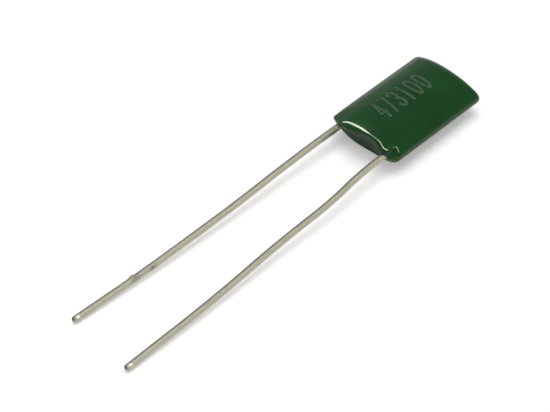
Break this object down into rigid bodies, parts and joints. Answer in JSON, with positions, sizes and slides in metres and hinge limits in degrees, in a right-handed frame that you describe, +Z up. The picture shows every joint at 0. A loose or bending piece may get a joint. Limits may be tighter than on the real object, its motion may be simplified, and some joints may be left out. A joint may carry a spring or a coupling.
{
  "type": "polyester film capacitor",
  "caption": "Flat epoxy-dipped film capacitor with parallel wire leads from one end, lying on its broad face; wound film and foil inside.",
  "frame": {"origin": "under the middle of the part's outline, on the surface that it lies on", "axes": "+X along the body towards its closed end, away from the leads; +Y across the body; +Z up, through its broad face"},
  "size_m": [0.0346, 0.0062, 0.0026],
  "materials": {
    "green_epoxy": "glossy dip coat",
    "tinned_wire": "drawn and tinned",
    "aluminium_foil": "bright rolled foil",
    "polyester_film": "clear film"
  },
  "bodies": {
    "root": {"epoxy_coating": "green_epoxy", "lead_left": "tinned_wire", "lead_right": "tinned_wire", "foil_electrode_1": "aluminium_foil", "foil_electrode_2": "aluminium_foil", "polyester_film_1": "polyester_film", "polyester_film_2": "polyester_film"}
  },
  "joints": []
}
